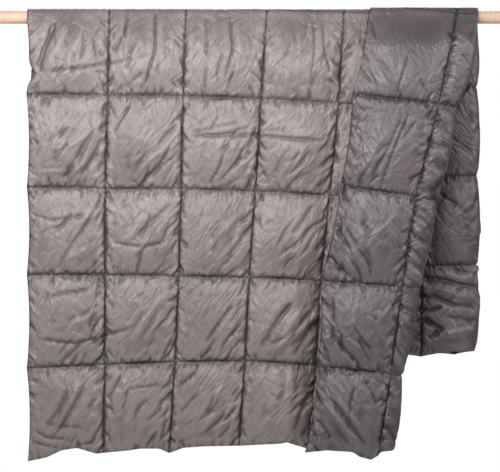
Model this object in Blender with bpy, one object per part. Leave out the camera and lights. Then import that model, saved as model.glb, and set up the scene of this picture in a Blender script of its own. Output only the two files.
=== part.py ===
"""A box-quilted blanket hanging over a round wooden rod.

Metres, +Z up. The origin is the middle of the rod's axis. The rod runs along X and
the blanket's front faces -Y. The blanket is one filled body: two layers of cloth with
filling between them, sewn together along a grid of seams. Its right margin is folded
onto its face along the whole length, so that the reverse shows there.

Cloth is placed by two coordinates. "across" is measured on the cloth from its left edge
to its right one. "along" is measured from the crest of the rod, down the front when it
is positive and down the back when it is negative.
"""
import math

import bmesh
import bpy
import numpy as np

# The blanket laid flat, and its quilting.
WIDTH = 1.400
COLUMNS = 7
BOX_WIDTH = WIDTH / COLUMNS
FOLD_ACROSS = 1.150

# Thickness, as half of it on each side of the middle surface.
SEAM_HALF = 0.0018
CROWN_HALF = 0.0200
CROWN_POWER = 0.60

# The rod, and how the cloth leaves it.
ROD_RADIUS = 0.016
ROD_LENGTH = 1.400
ROD_SIDES = 32
ROD_CHAMFER = 0.0015
CLEARANCE = 0.002
WRAP_RADIUS = ROD_RADIUS + CLEARANCE + SEAM_HALF
WRAP_ANGLE = math.radians(72)
EASE_LENGTH = 0.100
CREST_TO_AXIS = 0.5 * math.pi * WRAP_RADIUS + 0.0015

# Filling is pressed flat on the rod and is at full height a little below it.
PRESSED_TO = 0.020
FULL_FROM = 0.115

# The folded layer lies outside the other one by this much, on the rod and below it.
FOLD_GAP_ON_ROD = 2 * SEAM_HALF + 0.0009
FOLD_GAP_FRONT = (0.0440, 0.0450, 0.0460, 0.0490, 0.0520)
FOLD_GAP_BACK = 0.0430
FREE_EDGE_DROP = 0.0140
# Round the fold the cloth is thinner than this share of the turn's radius, and away
# from the turn it may thicken at this slope.
TURN_THIN = 0.62
TURN_SLOPE = 0.15

# Seams are listed from the left edge: the edge, four seams, the fold, the next seam
# beyond the fold, and the free edge of the folded margin.
SEAMS_ACROSS = (0.0, 0.2, 0.4, 0.6, 0.8, FOLD_ACROSS, 1.2, WIDTH)

# Where each of those lies along the rod, at the crest and at each front cross seam
# down to the hem. The front sweeps to the left as it goes down.
FRONT_PLACES = (
    (-0.567, -0.361, -0.169, 0.034, 0.227, 0.562, 0.513, 0.294),
    (-0.568, -0.364, -0.176, 0.019, 0.213, 0.503, 0.462, 0.246),
    (-0.567, -0.371, -0.181, 0.004, 0.191, 0.454, 0.404, 0.216),
    (-0.567, -0.371, -0.187, -0.011, 0.168, 0.409, 0.370, 0.166),
    (-0.567, -0.372, -0.196, -0.021, 0.156, 0.367, 0.342, 0.159),
    (-0.565, -0.375, -0.211, -0.036, 0.134, 0.345, 0.310, 0.128),
)
# In the first front row the fold bows out to the right of a straight line.
FOLD_BOW = 0.013
# The back hangs straight down from the crest.
BACK_PLACES = (
    (-0.567, -0.361, -0.169, 0.034, 0.227, 0.562, 0.513, 0.294),
    (-0.563, -0.363, -0.166, 0.031, 0.229, 0.560, 0.511, 0.297),
    (-0.565, -0.366, -0.169, 0.028, 0.226, 0.561, 0.509, 0.301),
    (-0.563, -0.364, -0.172, 0.030, 0.223, 0.560, 0.510, 0.298),
    (-0.560, -0.360, -0.168, 0.033, 0.227, 0.557, 0.507, 0.303),
)

# Drop of each cross seam below the rod's axis, at the same places across.
FRONT_DROPS = (
    (0.194, 0.197, 0.198, 0.205, 0.217, 0.225, 0.220, 0.195),
    (0.426, 0.430, 0.431, 0.436, 0.447, 0.460, 0.449, 0.425),
    (0.645, 0.646, 0.649, 0.652, 0.660, 0.677, 0.675, 0.660),
    (0.879, 0.870, 0.863, 0.860, 0.872, 0.896, 0.892, 0.872),
)
BACK_DROPS = (
    (0.196, 0.195, 0.193, 0.187, 0.178, 0.172, 0.174, 0.192),
    (0.421, 0.419, 0.417, 0.411, 0.403, 0.397, 0.399, 0.415),
    (0.645, 0.644, 0.642, 0.635, 0.628, 0.621, 0.623, 0.639),
    (0.869, 0.868, 0.866, 0.863, 0.860, 0.848, 0.849, 0.863),
)
# The front hem hangs unevenly: its knots at the seams are its lowest points.
HEM_ACROSS = (0.00, 0.05, 0.09, 0.13, 0.18, 0.20, 0.28, 0.31, 0.37, 0.40, 0.44, 0.50,
              0.60, 0.72, 0.74, 0.80, 1.11, 1.16, 1.19, 1.22, 1.25, 1.27, 1.34, 1.40)
HEM_DROPS = (1.113, 1.103, 1.085, 1.079, 1.093, 1.091, 1.085, 1.081, 1.081, 1.092, 1.079, 1.075,
             1.073, 1.067, 1.064, 1.081, 1.084, 1.085, 1.091, 1.106, 1.099, 1.087, 1.083, 1.089)
# How far the cross seam nearest to the rod's crest lies down the front from it.
CREST_SEAM = (0.000, 0.002, 0.003, 0.010, 0.020, 0.028, 0.024, 0.001)

# The front waves in and out a little. Outward is positive. The places across include
# a ridge in the fourth column and the pleats that the folded margin hides.
WAVES_ACROSS = (0.0, 0.2, 0.4, 0.6, 0.73, 0.8, 0.97, 1.07, 1.13)
FRONT_WAVES = (
    (0.000, 0.000, 0.000, 0.000, 0.000, 0.000, 0.000, 0.000, 0.000),
    (0.003, 0.000, 0.002, 0.000, 0.002, 0.000, 0.001, 0.000, 0.000),
    (0.006, 0.000, 0.004, 0.003, 0.006, -0.004, 0.001, -0.004, 0.000),
    (0.005, 0.002, 0.004, 0.008, 0.012, -0.007, 0.002, -0.006, 0.000),
    (0.004, 0.008, 0.001, 0.013, 0.025, -0.006, 0.004, -0.010, 0.000),
    (-0.004, 0.014, 0.001, 0.016, 0.038, -0.002, 0.008, -0.016, 0.000),
)
BACK_WAVE = 0.005
BACK_WAVE_LENGTH = 0.47

# Between the ends of its seams an edge is drawn in by the filling, and a crease pinches
# the left edge once, in the first front row.
EDGE_DRAWN_IN = 0.006
HEM_DRAWN_IN = 0.010
PINCH_LEVEL = 0.775
PINCH_SPREAD = 0.09
PINCH_DEPTH = 0.013

# Mesh lines. The cloth needs close lines over the rod and round the fold.
LINES_PER_BOX = 5
CREST_LINES = (0.008, 0.016, 0.024, 0.032, 0.042, 0.056, 0.078)
BEFORE_FOLD = (1.04, 1.08)
TURN_SHARES = (-1.0, -0.5, 0.0, 0.5, 1.0)


def clear_scene():
    for thing in list(bpy.data.objects):
        bpy.data.objects.remove(thing, do_unlink=True)


def plain_material(name, colour, roughness):
    material = bpy.data.materials.new(name)
    material.use_nodes = True
    shader = material.node_tree.nodes["Principled BSDF"]
    shader.inputs["Base Color"].default_value = (*colour, 1.0)
    shader.inputs["Roughness"].default_value = roughness
    shader.inputs["Metallic"].default_value = 0.0
    return material


def eased(value, low, high):
    """0 below low, 1 above high, and a smooth step between them."""
    t = np.clip((value - low) / (high - low), 0.0, 1.0)
    return t * t * (3.0 - 2.0 * t)


def hang_profile(along):
    """Middle surface in the YZ plane and its outward direction, at a signed length."""
    step = 0.0005
    lengths = np.arange(0.0, 1.30, step) + 0.5 * step
    leaving = WRAP_RADIUS * WRAP_ANGLE
    eased_down = eased(lengths, leaving, leaving + EASE_LENGTH)
    angle = np.where(lengths < leaving, lengths / WRAP_RADIUS,
                     WRAP_ANGLE + (0.5 * math.pi - WRAP_ANGLE) * eased_down)
    marks = np.arange(len(lengths) + 1) * step
    outs = np.concatenate(([0.0], np.cumsum(np.cos(angle)) * step))
    downs = np.concatenate(([0.0], np.cumsum(np.sin(angle)) * step))
    turned = np.interp(abs(along), lengths, angle)
    side = -1.0 if along >= 0.0 else 1.0
    y = side * np.interp(abs(along), marks, outs)
    z = WRAP_RADIUS - np.interp(abs(along), marks, downs)
    return y, z, side * math.sin(turned), math.cos(turned)


def level_lengths(across):
    """Signed length from the crest to every cross seam, back hem first."""
    front = [np.interp(across, SEAMS_ACROSS, drops) for drops in FRONT_DROPS]
    front.append(np.interp(across, HEM_ACROSS, HEM_DROPS))
    back = [np.interp(across, SEAMS_ACROSS, drops) for drops in BACK_DROPS]
    crest = np.interp(across, SEAMS_ACROSS, CREST_SEAM)
    drawn = 1.0 - (2.0 * math.fmod(across / BOX_WIDTH, 1.0) - 1.0) ** 2
    back[-1] -= HEM_DRAWN_IN * drawn
    upper = [-(drop + CREST_TO_AXIS) for drop in reversed(back)]
    return upper + [crest] + [drop + CREST_TO_AXIS for drop in front]


def table_value(table, places, across, level):
    """A table's rows are levels below the crest, its columns places across."""
    rows = [np.interp(across, places, row) for row in table]
    return float(np.interp(level, range(len(rows)), rows))


def level_of(along, seams):
    """Level below the crest as a number that is whole at each cross seam."""
    crest = len(BACK_DROPS)
    if along >= 0.0:
        marks = [0.0] + seams[crest + 1:]
        return float(np.interp(along, marks, range(len(marks))))
    marks = [0.0] + [-seam for seam in reversed(seams[:crest])]
    return float(np.interp(-along, marks, range(len(marks))))


def fold_gap(along, level):
    """Distance between the middle surfaces of the folded layer and the one under it."""
    lifted = eased(abs(along), PRESSED_TO, FULL_FROM)
    below = FOLD_GAP_BACK
    if along >= 0.0:
        below = float(np.interp(level, range(1, 6), FOLD_GAP_FRONT))
    return FOLD_GAP_ON_ROD + (below - FOLD_GAP_ON_ROD) * lifted


def section_point(across, along, level):
    """Place along the rod, and distance out from the hanging middle surface."""
    front = along >= 0.0
    places = FRONT_PLACES if front else BACK_PLACES
    lifted = eased(abs(along), PRESSED_TO, FULL_FROM)
    gap = fold_gap(along, level)
    radius = 0.5 * gap
    half_turn = 0.5 * math.pi * radius
    fold_x = table_value(places, SEAMS_ACROSS, FOLD_ACROSS, level)
    if front and level < 1.0:
        fold_x += 4.0 * FOLD_BOW * level * (1.0 - level)
    turn_start = FOLD_ACROSS - half_turn
    turn_end = FOLD_ACROSS + half_turn
    if across <= turn_start:
        last_seam = SEAMS_ACROSS[4]
        if across <= last_seam:
            x = table_value(places, SEAMS_ACROSS, across, level)
        else:
            seam_x = table_value(places, SEAMS_ACROSS, last_seam, level)
            share = (across - last_seam) / (turn_start - last_seam)
            x = seam_x + share * (fold_x - radius - seam_x)
        if front:
            wave = table_value(FRONT_WAVES, WAVES_ACROSS, across, level)
        else:
            swing = math.sin(2.0 * math.pi * across / BACK_WAVE_LENGTH)
            wave = BACK_WAVE * lifted * swing * eased(FOLD_ACROSS - across, 0.05, 0.15)
        return x, wave
    if across < turn_end:
        turned = math.pi * (across - turn_start) / (turn_end - turn_start)
        return fold_x - radius + radius * math.sin(turned), radius * (1.0 - math.cos(turned))
    seam_x = table_value(places, SEAMS_ACROSS, SEAMS_ACROSS[6], level)
    edge_x = table_value(places, SEAMS_ACROSS, WIDTH, level)
    x = np.interp(across, (turn_end, SEAMS_ACROSS[6], WIDTH), (fold_x - radius, seam_x, edge_x))
    drop = FREE_EDGE_DROP * lifted * eased(across, WIDTH - 0.08, WIDTH)
    return float(x), gap - drop


def row_phase(along, seams):
    """-1 to 1 between the two cross seams that a point lies between."""
    row = int(np.clip(np.searchsorted(seams, along) - 1, 0, len(seams) - 2))
    share = (along - seams[row]) / (seams[row + 1] - seams[row])
    return float(np.clip(2.0 * share - 1.0, -1.0, 1.0))


def blanket_point(across, along, seams):
    """A point of the middle surface and half the thickness there."""
    level = level_of(along, seams)
    column_phase = 2.0 * math.fmod(across / BOX_WIDTH + 1e-9, 1.0) - 1.0
    phase = row_phase(along, seams)
    full = ((1.0 - column_phase ** 2) * (1.0 - phase ** 2)) ** CROWN_POWER
    pressed = eased(abs(along), PRESSED_TO, FULL_FROM)
    half = SEAM_HALF + (CROWN_HALF - SEAM_HALF) * full * pressed
    radius = 0.5 * fold_gap(along, level)
    past_turn = max(0.0, abs(across - FOLD_ACROSS) - 0.5 * math.pi * radius)
    half = min(half, TURN_THIN * radius + TURN_SLOPE * past_turn)
    x, out = section_point(across, along, level)
    # The folded free edge faces left, so it is drawn in along +X as the left edge is.
    near_edge = eased(across, BOX_WIDTH, 0.0) + eased(across, WIDTH - BOX_WIDTH, WIDTH)
    edge_pull = EDGE_DRAWN_IN * pressed * (1.0 - phase ** 2)
    x += edge_pull * near_edge
    pinch = math.exp(-((level - PINCH_LEVEL) / PINCH_SPREAD) ** 2) * (along > 0.0)
    x += PINCH_DEPTH * pinch * eased(across, 0.4 * BOX_WIDTH, 0.0)
    y, z, out_y, out_z = hang_profile(along)
    return (x, y + out * out_y, z + out * out_z), half


def across_lines():
    """Each line's place across, and its share of the half turn to add to that."""
    step = BOX_WIDTH / LINES_PER_BOX
    lines = [(k * step, 0.0) for k in range(5 * LINES_PER_BOX + 1)]
    lines += [(across, 0.0) for across in BEFORE_FOLD]
    lines += [(FOLD_ACROSS, share) for share in TURN_SHARES]
    lines += [(SEAMS_ACROSS[6] + k * step, 0.0) for k in range(LINES_PER_BOX + 1)]
    return lines


def along_lines(seams):
    """Mesh lines down one line of cloth, back hem first."""
    crest = len(BACK_DROPS)
    shares = [k / LINES_PER_BOX for k in range(1, LINES_PER_BOX + 1)]
    top_shares = (1.0 / 3.0, 2.0 / 3.0, 1.0)

    def one_side(levels):
        lines = list(CREST_LINES)
        lines += [CREST_LINES[-1] + (levels[0] - CREST_LINES[-1]) * s for s in top_shares]
        for upper, lower in zip(levels, levels[1:]):
            lines += [upper + (lower - upper) * s for s in shares]
        return lines

    back = one_side([-seam for seam in reversed(seams[:crest])])
    front = one_side(seams[crest + 1:])
    return [-line for line in reversed(back)] + [0.0] + front


def blanket_grid():
    """Middle points and half thicknesses, by line across and line along."""
    points = []
    halves = []
    for place, share in across_lines():
        seams = level_lengths(place)
        column = []
        for along in along_lines(seams):
            half_turn = 0.25 * math.pi * fold_gap(along, level_of(along, seams))
            column.append(blanket_point(place + share * half_turn, along, seams))
        points.append([point for point, _ in column])
        halves.append([half for _, half in column])
    return np.array(points), np.array(halves)


def face_normals(points):
    """Unit normals of the grid, on the side of the blanket's face."""
    sideways = np.gradient(points, axis=0)
    down_front = np.gradient(points, axis=1)
    normals = np.cross(down_front, sideways)
    return normals / np.linalg.norm(normals, axis=2, keepdims=True)


def make_blanket():
    points, halves = blanket_grid()
    offset = face_normals(points) * halves[:, :, None]
    count_across, count_along = halves.shape
    layer = count_across * count_along
    vertices = np.concatenate(((points + offset).reshape(-1, 3), (points - offset).reshape(-1, 3)))

    def corner(i, j):
        return i * count_along + j

    faces = []
    for i in range(count_across - 1):
        for j in range(count_along - 1):
            ring = (corner(i, j), corner(i, j + 1), corner(i + 1, j + 1), corner(i + 1, j))
            faces.append(ring)
            faces.append(tuple(layer + vertex for vertex in reversed(ring)))
    rim = [corner(i, 0) for i in range(count_across)]
    rim += [corner(count_across - 1, j) for j in range(1, count_along)]
    rim += [corner(i, count_along - 1) for i in range(count_across - 2, -1, -1)]
    rim += [corner(0, j) for j in range(count_along - 2, 0, -1)]
    for first, second in zip(rim, rim[1:] + rim[:1]):
        faces.append((first, second, layer + second, layer + first))

    mesh = bpy.data.meshes.new("blanket")
    mesh.from_pydata([tuple(vertex) for vertex in vertices], [], faces)
    work = bmesh.new()
    work.from_mesh(mesh)
    bmesh.ops.triangulate(work, faces=work.faces)
    work.to_mesh(mesh)
    work.free()
    mesh.shade_smooth()
    blanket = bpy.data.objects.new("blanket", mesh)
    bpy.context.collection.objects.link(blanket)
    blanket.data.materials.append(plain_material("quilt_fabric", (0.33, 0.29, 0.27), 0.45))
    return blanket


def make_rod():
    mesh = bpy.data.meshes.new("rod")
    work = bmesh.new()
    bmesh.ops.create_cone(work, cap_ends=True, segments=ROD_SIDES, radius1=ROD_RADIUS,
                          radius2=ROD_RADIUS, depth=ROD_LENGTH)
    rims = [edge for edge in work.edges
            if abs(edge.verts[0].co.z - edge.verts[1].co.z) < 0.5 * ROD_CHAMFER]
    bmesh.ops.bevel(work, geom=rims, offset=ROD_CHAMFER, segments=1, affect="EDGES")
    work.to_mesh(mesh)
    work.free()
    mesh.shade_smooth()
    mesh.set_sharp_from_angle(angle=math.radians(40))
    rod = bpy.data.objects.new("rod", mesh)
    rod.rotation_euler = (0.0, math.radians(90), 0.0)
    bpy.context.collection.objects.link(rod)
    rod.data.materials.append(plain_material("rod_wood", (0.80, 0.62, 0.45), 0.50))
    return rod


clear_scene()
make_rod()
make_blanket()
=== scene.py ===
"""The looks of a box-quilted blanket that hangs over a wooden rod.

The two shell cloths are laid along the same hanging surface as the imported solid. They are
sewn to each other along the seams, cut a little larger than the boxes between the seams,
and filled: a small cloth simulation on a grid then finds the pillows and their puckers.

Metres, +Z up. The rod runs along X through the origin and the front faces -Y. "across" is
measured on the cloth from its left edge. "along" is the length from the crest of the rod,
down the front when positive and down the back when negative. "level" is whole at each
cross seam: 0 at the crest, 1 to 5 down the front, -1 to -4 down the back.
"""
import math
from concurrent.futures import ThreadPoolExecutor

import bpy
import numpy as np
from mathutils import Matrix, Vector


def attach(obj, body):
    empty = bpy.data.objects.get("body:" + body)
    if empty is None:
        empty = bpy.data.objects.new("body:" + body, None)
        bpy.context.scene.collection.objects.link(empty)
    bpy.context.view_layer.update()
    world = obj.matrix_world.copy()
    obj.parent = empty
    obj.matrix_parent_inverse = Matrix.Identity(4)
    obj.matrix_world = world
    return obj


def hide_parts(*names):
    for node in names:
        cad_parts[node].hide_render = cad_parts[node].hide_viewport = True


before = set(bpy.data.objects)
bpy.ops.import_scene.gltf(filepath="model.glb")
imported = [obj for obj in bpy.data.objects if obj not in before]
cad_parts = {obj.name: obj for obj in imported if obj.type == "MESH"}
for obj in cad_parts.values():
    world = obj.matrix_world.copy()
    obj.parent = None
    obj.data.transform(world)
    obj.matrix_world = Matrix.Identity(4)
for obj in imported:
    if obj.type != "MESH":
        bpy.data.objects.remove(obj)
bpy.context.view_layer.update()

# ---------------------------------------------------------------- the hanging surface
WIDTH, LENGTH = 1.400, 2.000
COLUMNS, BACK_ROWS, FRONT_ROWS = 7, 4, 5
ROWS = BACK_ROWS + FRONT_ROWS
BOX_WIDTH, BOX_LENGTH = WIDTH / COLUMNS, LENGTH / ROWS
FOLD_ACROSS = 1.150

SEAM_HALF = 0.0018
CROWN_HALF = 0.0200
CROWN_FREE = 0.0265          # where no other layer presses on the filling

ROD_RADIUS = 0.016
WRAP_RADIUS = ROD_RADIUS + 0.002 + SEAM_HALF
WRAP_ANGLE = math.radians(72)
EASE_LENGTH = 0.100
CREST_TO_AXIS = 0.5 * math.pi * WRAP_RADIUS + 0.0015

PRESSED_TO, FULL_FROM = 0.020, 0.115
FOLD_GAP_ON_ROD = 2 * SEAM_HALF + 0.0009
FOLD_GAP_FRONT = (0.0440, 0.0450, 0.0460, 0.0490, 0.0520)
FOLD_GAP_BACK = 0.0430
FREE_EDGE_DROP = 0.0140
TURN_THIN, TURN_SLOPE = 0.62, 0.15

# The left edge, four seams, the fold, the seam beyond it and the folded free edge.
SEAMS_ACROSS = (0.0, 0.2, 0.4, 0.6, 0.8, FOLD_ACROSS, 1.2, WIDTH)
# Their places along the rod, from the back hem up over the crest to the front hem.
PLACES = (
    (-0.560, -0.360, -0.168, 0.033, 0.227, 0.557, 0.507, 0.303),
    (-0.563, -0.364, -0.172, 0.030, 0.223, 0.560, 0.510, 0.298),
    (-0.565, -0.366, -0.169, 0.028, 0.226, 0.561, 0.509, 0.301),
    (-0.563, -0.363, -0.166, 0.031, 0.229, 0.560, 0.511, 0.297),
    (-0.567, -0.361, -0.169, 0.034, 0.227, 0.562, 0.513, 0.294),
    (-0.568, -0.364, -0.176, 0.019, 0.213, 0.503, 0.462, 0.246),
    (-0.567, -0.371, -0.181, 0.004, 0.191, 0.454, 0.404, 0.216),
    (-0.567, -0.371, -0.187, -0.011, 0.168, 0.409, 0.370, 0.166),
    (-0.567, -0.372, -0.196, -0.021, 0.156, 0.367, 0.342, 0.159),
    (-0.565, -0.375, -0.211, -0.036, 0.134, 0.345, 0.310, 0.128),
)
# In the first front row the fold bows out to the right of a straight line.
FOLD_BOW = 0.013
# Drops of the cross seams below the rod's axis, from the back hem up and then down.
BACK_DROPS = (
    (0.869, 0.868, 0.866, 0.863, 0.860, 0.848, 0.849, 0.863),
    (0.645, 0.644, 0.642, 0.635, 0.628, 0.621, 0.623, 0.639),
    (0.421, 0.419, 0.417, 0.411, 0.403, 0.397, 0.399, 0.415),
    (0.196, 0.195, 0.193, 0.187, 0.178, 0.172, 0.174, 0.192),
)
CREST_SEAM = (0.000, 0.002, 0.003, 0.010, 0.020, 0.028, 0.024, 0.001)
FRONT_DROPS = (
    (0.194, 0.197, 0.198, 0.205, 0.217, 0.225, 0.220, 0.195),
    (0.426, 0.430, 0.431, 0.436, 0.447, 0.460, 0.449, 0.425),
    (0.645, 0.646, 0.649, 0.652, 0.660, 0.677, 0.675, 0.660),
    (0.879, 0.870, 0.863, 0.860, 0.872, 0.896, 0.892, 0.872),
)
# The front hem hangs unevenly.
HEM_ACROSS = (0.00, 0.05, 0.09, 0.13, 0.18, 0.20, 0.28, 0.31, 0.37, 0.40, 0.44, 0.50,
              0.60, 0.72, 0.74, 0.80, 1.11, 1.16, 1.19, 1.22, 1.25, 1.27, 1.34, 1.40)
HEM_DROPS = (1.113, 1.103, 1.085, 1.079, 1.093, 1.091, 1.085, 1.081, 1.081, 1.092, 1.079, 1.075,
             1.073, 1.067, 1.064, 1.081, 1.084, 1.085, 1.091, 1.106, 1.099, 1.087, 1.083, 1.089)
WAVES_ACROSS = (0.0, 0.2, 0.4, 0.6, 0.73, 0.8, 0.97, 1.07, 1.13)
FRONT_WAVES = (
    (0.000, 0.000, 0.000, 0.000, 0.000, 0.000, 0.000, 0.000, 0.000),
    (0.003, 0.000, 0.002, 0.000, 0.002, 0.000, 0.001, 0.000, 0.000),
    (0.006, 0.000, 0.004, 0.003, 0.006, -0.004, 0.001, -0.004, 0.000),
    (0.005, 0.002, 0.004, 0.008, 0.012, -0.007, 0.002, -0.006, 0.000),
    (0.004, 0.008, 0.001, 0.013, 0.025, -0.006, 0.004, -0.010, 0.000),
    (-0.004, 0.014, 0.001, 0.016, 0.038, -0.002, 0.008, -0.016, 0.000),
)
BACK_WAVE, BACK_WAVE_LENGTH = 0.005, 0.47
EDGE_DRAWN_IN, HEM_DRAWN_IN = 0.006, 0.010
PINCH_LEVEL, PINCH_SPREAD, PINCH_DEPTH = 0.775, 0.09, 0.013

LEVELS = np.arange(-BACK_ROWS, FRONT_ROWS + 1)


def eased(value, low, high):
    """0 below low, 1 above high, and a smooth step between them."""
    t = np.clip((value - low) / (high - low), 0.0, 1.0)
    return t * t * (3.0 - 2.0 * t)


def hang_profile(along):
    """Y, Z and the outward direction of the middle surface, at signed lengths."""
    step = 0.0005
    lengths = np.arange(0.0, 1.30, step) + 0.5 * step
    leaving = WRAP_RADIUS * WRAP_ANGLE
    angle = np.where(lengths < leaving, lengths / WRAP_RADIUS,
                     WRAP_ANGLE + (0.5 * math.pi - WRAP_ANGLE)
                     * eased(lengths, leaving, leaving + EASE_LENGTH))
    marks = np.arange(len(lengths) + 1) * step
    outs = np.concatenate(([0.0], np.cumsum(np.cos(angle)) * step))
    downs = np.concatenate(([0.0], np.cumsum(np.sin(angle)) * step))
    turned = np.interp(np.abs(along), lengths, angle)
    side = np.where(along >= 0.0, -1.0, 1.0)
    y = side * np.interp(np.abs(along), marks, outs)
    z = WRAP_RADIUS - np.interp(np.abs(along), marks, downs)
    return y, z, side * np.sin(turned), np.cos(turned)


def seam_lengths(across):
    """Signed length from the crest to the ten cross lines, by line across."""
    drawn = 1.0 - (2.0 * np.mod(across / BOX_WIDTH, 1.0) - 1.0) ** 2
    lines = [-(np.interp(across, SEAMS_ACROSS, drops) + CREST_TO_AXIS) for drops in BACK_DROPS]
    lines[0] += HEM_DRAWN_IN * drawn
    lines.append(np.interp(across, SEAMS_ACROSS, CREST_SEAM))
    lines += [np.interp(across, SEAMS_ACROSS, drops) + CREST_TO_AXIS for drops in FRONT_DROPS]
    lines.append(np.interp(across, HEM_ACROSS, HEM_DROPS) + CREST_TO_AXIS)
    return np.stack(lines, axis=1)


def table_at(table, places, across, level, first_level):
    """Bilinear value of a table whose rows are levels and whose columns are places."""
    columns = np.stack([np.interp(across, places, row) for row in table])
    row = np.clip(level - first_level, 0.0, len(table) - 1.000001)
    low = row.astype(int)
    share = row - low
    upper = np.take_along_axis(columns, low[None], axis=0)[0]
    lower = np.take_along_axis(columns, low[None] + 1, axis=0)[0]
    return upper + (lower - upper) * share


def place_at(across, level):
    return table_at(PLACES, SEAMS_ACROSS, across, level, -BACK_ROWS)


class Surface:
    """The middle surface on a grid: `cells` steps to a box, by line across and row."""

    TURN_CELLS = (0.56, 0.26)    # shares of a box's cells before the turn and in it

    def __init__(self, cells):
        self.cells = cells
        lines = np.arange(COLUMNS * cells + 1) / cells
        rows = np.arange(ROWS * cells + 1) / cells
        nominal = lines * BOX_WIDTH
        seams = seam_lengths(nominal)
        row_low = np.minimum(rows.astype(int), ROWS - 1)
        share = rows - row_low
        self.along = seams[:, row_low] + (seams[:, row_low + 1] - seams[:, row_low]) * share
        zero_seams = seams.copy()
        zero_seams[:, BACK_ROWS] = 0.0
        self.level = np.stack([np.interp(a, s, LEVELS) for a, s in zip(self.along, zero_seams)])
        self.lifted = eased(np.abs(self.along), PRESSED_TO, FULL_FROM)
        self.across = self.spaced_across(nominal)
        self.column_phase = 2.0 * np.mod(self.across / BOX_WIDTH + 1e-9, 1.0) - 1.0
        self.row_phase = np.broadcast_to(2.0 * share - 1.0, self.along.shape)
        self.front = np.broadcast_to(rows >= BACK_ROWS, self.along.shape)
        self.seam_distance = 0.5 * BOX_WIDTH * (1.0 - np.abs(self.column_phase))
        self.cross_distance = 0.5 * BOX_LENGTH * (1.0 - np.abs(self.row_phase))
        self.row_place = np.broadcast_to(rows - BACK_ROWS, self.along.shape)
        self.points = self.place()
        self.normals = self.outward()
        self.edges = np.zeros(self.along.shape, bool)
        self.edges[[0, -1]] = True
        self.edges[:, [0, -1]] = True
        self.seams = self.edges.copy()
        self.seams[::cells] = True
        self.seams[:, ::cells] = True

    def gap(self):
        """Distance between the folded layer and the one under it."""
        below = np.interp(self.level, range(1, 6), FOLD_GAP_FRONT)
        below = np.where(self.along >= 0.0, below, FOLD_GAP_BACK)
        return FOLD_GAP_ON_ROD + (below - FOLD_GAP_ON_ROD) * self.lifted

    def spaced_across(self, nominal):
        """Lines across, gathered round the fold where its turn is tight."""
        across = np.repeat(nominal[:, None], self.along.shape[1], axis=1)
        half_turn = 0.25 * math.pi * self.gap()
        start = 5 * self.cells
        count = self.cells
        before = int(round(self.TURN_CELLS[0] * count))
        turning = int(round(self.TURN_CELLS[1] * count))
        for k in range(count + 1):
            if k <= before:
                line = 1.0 + (FOLD_ACROSS - half_turn[start + k] - 1.0) * k / before
            elif k <= before + turning:
                line = FOLD_ACROSS + half_turn[start + k] * (2.0 * (k - before) / turning - 1.0)
            else:
                share = (k - before - turning) / (count - before - turning)
                turned = FOLD_ACROSS + half_turn[start + k]
                line = turned + (SEAMS_ACROSS[6] - turned) * share
            across[start + k] = line
        return across

    def place(self):
        gap = self.gap()
        radius = 0.5 * gap
        half_turn = 0.5 * math.pi * radius
        turn_start, turn_end = FOLD_ACROSS - half_turn, FOLD_ACROSS + half_turn
        fold_x = place_at(np.full_like(gap, FOLD_ACROSS), self.level)
        in_first_row = np.clip(self.level, 0.0, 1.0)
        fold_x = fold_x + 4.0 * FOLD_BOW * in_first_row * (1.0 - in_first_row)
        seam_x = place_at(np.full_like(gap, SEAMS_ACROSS[4]), self.level)
        next_x = place_at(np.full_like(gap, SEAMS_ACROSS[6]), self.level)
        edge_x = place_at(np.full_like(gap, WIDTH), self.level)

        under = (self.across - SEAMS_ACROSS[4]) / (turn_start - SEAMS_ACROSS[4])
        x = np.where(self.across <= SEAMS_ACROSS[4], place_at(self.across, self.level),
                     seam_x + under * (fold_x - radius - seam_x))
        wave = table_at(FRONT_WAVES, WAVES_ACROSS, self.across, self.level, 0)
        swing = np.sin(2.0 * math.pi * self.across / BACK_WAVE_LENGTH)
        back_wave = BACK_WAVE * self.lifted * swing * eased(FOLD_ACROSS - self.across, 0.05, 0.15)
        out = np.where(self.along >= 0.0, wave, back_wave)

        turning = self.across > turn_start
        turned = math.pi * (self.across - turn_start) / (turn_end - turn_start)
        x = np.where(turning, fold_x - radius + radius * np.sin(turned), x)
        out = np.where(turning, radius * (1.0 - np.cos(turned)), out)

        folded = self.across >= turn_end
        to_seam = (self.across - turn_end) / (SEAMS_ACROSS[6] - turn_end)
        to_edge = (self.across - SEAMS_ACROSS[6]) / (WIDTH - SEAMS_ACROSS[6])
        start_x = fold_x - radius
        folded_x = np.where(self.across <= SEAMS_ACROSS[6], start_x + (next_x - start_x) * to_seam,
                            next_x + (edge_x - next_x) * to_edge)
        drop = FREE_EDGE_DROP * self.lifted * eased(self.across, WIDTH - 0.08, WIDTH)
        x = np.where(folded, folded_x, x)
        out = np.where(folded, gap - drop, out)

        near_edge = eased(self.across, BOX_WIDTH, 0.0)
        near_edge = near_edge + eased(self.across, WIDTH - BOX_WIDTH, WIDTH)
        x = x + EDGE_DRAWN_IN * self.lifted * (1.0 - self.row_phase ** 2) * near_edge
        pinch = np.exp(-((self.level - PINCH_LEVEL) / PINCH_SPREAD) ** 2) * (self.along > 0.0)
        x = x + PINCH_DEPTH * pinch * eased(self.across, 0.4 * BOX_WIDTH, 0.0)
        y, z, out_y, out_z = hang_profile(self.along)
        return np.stack((x, y + out * out_y, z + out * out_z), axis=2)

    def outward(self):
        """Unit normals on the side of the blanket's face."""
        normals = np.cross(np.gradient(self.points, axis=1), np.gradient(self.points, axis=0))
        return normals / np.linalg.norm(normals, axis=2, keepdims=True)

    def turn_nearness(self):
        """1 round the fold and 0 away from it."""
        radius = 0.5 * self.gap()
        past_turn = np.abs(self.across - FOLD_ACROSS) - 0.5 * math.pi * radius
        return 1.0 - eased(past_turn, 0.0, 0.025)

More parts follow.
